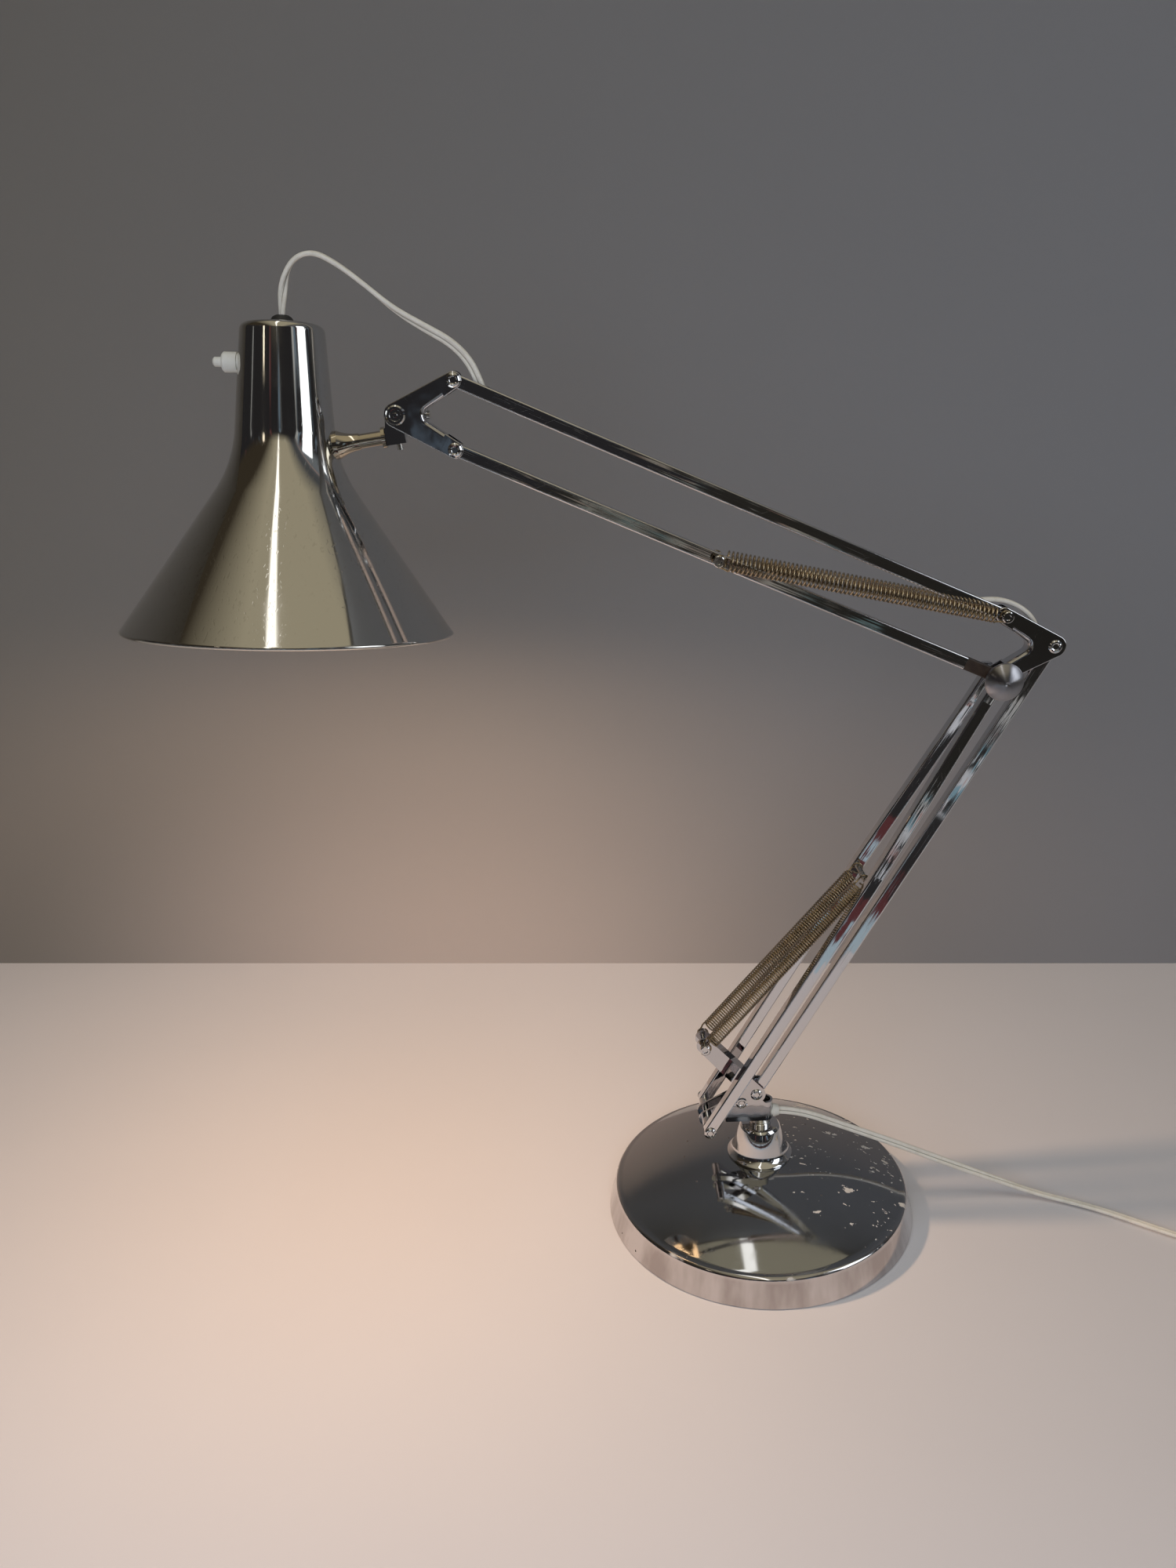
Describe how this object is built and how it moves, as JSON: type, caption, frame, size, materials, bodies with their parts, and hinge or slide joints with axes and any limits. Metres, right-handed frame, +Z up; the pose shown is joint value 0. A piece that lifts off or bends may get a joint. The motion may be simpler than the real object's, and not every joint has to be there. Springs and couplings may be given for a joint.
{
  "type": "architect lamp",
  "caption": "Spring-balanced desk lamp: domed base, two parallelogram arms with tension springs, tilting conical shade.",
  "frame": {"origin": "centre of the base's underside, on the swivel axis", "axes": "+Z up along the swivel axis, the arms lie in the XZ plane and reach the shade towards -X, +Y away from the viewer"},
  "size_m": [0.7619, 0.2501, 0.6279],
  "materials": {
    "chrome_plate": "polished",
    "cast": "rough",
    "felt": "matt",
    "steel": "satin",
    "spring_wire": "bright",
    "cord_skin": "smooth",
    "white_plastic": "smooth",
    "dark_block": "matt",
    "black_rubber": "matt",
    "brass": "bright",
    "bulb": "frosted",
    "holder": "satin"
  },
  "bodies": {
    "base": {"base_cover": "chrome_plate", "base_weight": "cast", "base_felt": "felt", "base_bolt": "steel", "socket_bell": "chrome_plate", "socket_grub_screw": "steel"},
    "swivel": {"swivel_stud": "steel", "swivel_bracket": "chrome_plate", "bracket_rivets": "chrome_plate", "front_pivot_pin": "chrome_plate", "pivot_spacers": "chrome_plate", "spring_anchor_pin": "steel", "cord_gland": "white_plastic", "mains_cord": "cord_skin", "cord_coil": "cord_skin", "coil_tie": "white_plastic", "plug_body": "white_plastic", "plug_pins": "brass"},
    "lower_arm": {"front_bar_near": "chrome_plate", "front_bar_far": "chrome_plate", "spring_cross_pin": "steel", "lower_spring_near": "spring_wire", "lower_spring_far": "spring_wire"},
    "rear_link": {"rear_bar": "chrome_plate", "cord_in_rear_bar": "cord_skin"},
    "elbow": {"elbow_bracket": "chrome_plate", "elbow_rivet": "chrome_plate", "elbow_spring_pin": "chrome_plate", "elbow_bolt": "steel", "elbow_nut": "chrome_plate", "elbow_cord": "cord_skin"},
    "knob": {"elbow_knob": "chrome_plate"},
    "upper_link": {"upper_bar": "chrome_plate", "cord_in_upper_bar": "cord_skin", "head_cord": "cord_skin"},
    "lower_link": {"lower_bar": "chrome_plate", "friction_block": "dark_block", "spring_clip_pin": "steel", "upper_spring_near": "spring_wire", "upper_spring_far": "spring_wire"},
    "head": {"head_bracket": "chrome_plate", "head_rivets": "chrome_plate", "head_clamp_screw": "steel"},
    "knuckle": {"head_knuckle": "chrome_plate", "knuckle_stop_screw": "steel", "tilt_screw": "chrome_plate"},
    "shade_unit": {"shade_stem": "chrome_plate", "stem_ferrule": "chrome_plate", "shade": "chrome_plate", "lampholder": "holder", "holder_nipple": "brass", "holder_nut": "brass", "shade_grommet": "black_rubber", "bulb_cap": "brass", "bulb_glass": "bulb", "switch_body": "white_plastic", "switch_collar": "white_plastic"},
    "button": {"switch_button": "white_plastic"}
  },
  "joints": [
    {"name": "base_swivel", "type": "hinge", "parent": "base", "child": "swivel", "pos_m": [0, 0, 0.07], "axis": [0, 0, 1], "range_deg": [-170, 170]},
    {"name": "lower_tilt", "type": "hinge", "parent": "swivel", "child": "lower_arm", "pos_m": [-0.0365, 0, 0.0737], "axis": [0, 1, 0], "range_deg": [-32, 18], "deforming": ["lower_spring_near", "lower_spring_far"]},
    {"name": "rear_link_turn", "type": "hinge", "parent": "elbow", "child": "rear_link", "pos_m": [0.1722, 0, 0.39399], "axis": [0, 1, 0], "range_deg": [-32, 18]},
    {"name": "elbow_turn", "type": "hinge", "parent": "lower_arm", "child": "elbow", "pos_m": [0.13903, 0, 0.3765], "axis": [0, 1, 0], "range_deg": [-18, 32]},
    {"name": "clamp_turn", "type": "hinge", "parent": "elbow", "child": "knob", "pos_m": [0.13903, -0.018, 0.3765], "axis": [0, 1, 0], "range_deg": [0, 180]},
    {"name": "upper_tilt", "type": "hinge", "parent": "elbow", "child": "upper_link", "pos_m": [0.14047, 0, 0.41397], "axis": [0, 1, 0], "range_deg": [-30, 35], "deforming": ["upper_spring_near", "upper_spring_far", "elbow_cord"]},
    {"name": "lower_link_turn", "type": "hinge", "parent": "elbow", "child": "lower_link", "pos_m": [0.13903, 0, 0.3765], "axis": [0, 1, 0], "range_deg": [-30, 35]},
    {"name": "head_turn", "type": "hinge", "parent": "upper_link", "child": "head", "pos_m": [-0.17599, 0, 0.55753], "axis": [0, 1, 0], "range_deg": [-35, 30]},
    {"name": "shade_tilt", "type": "hinge", "parent": "head", "child": "knuckle", "pos_m": [-0.20917, 0, 0.54004], "axis": [0, 1, 0], "range_deg": [-22, 55], "deforming": ["head_cord"]},
    {"name": "shade_swivel", "type": "hinge", "parent": "knuckle", "child": "shade_unit", "pos_m": [-0.21607, 0, 0.52824], "axis": [-0.993, 0, -0.1184], "range_deg": [-80, 80]},
    {"name": "switch_press", "type": "slide", "parent": "shade_unit", "child": "button", "axis": [0.9981, -0.0068, -0.0607], "range_m": [0, 0.0025], "stiffness_N_per_m": 700, "springref_m": -0.0012}
  ],
  "couplings": [
    {"joint": "rear_link_turn", "follows": "lower_tilt", "ratio": 1},
    {"joint": "elbow_turn", "follows": "lower_tilt", "ratio": -1},
    {"joint": "lower_link_turn", "follows": "upper_tilt", "ratio": 1},
    {"joint": "head_turn", "follows": "upper_tilt", "ratio": -1}
  ]
}
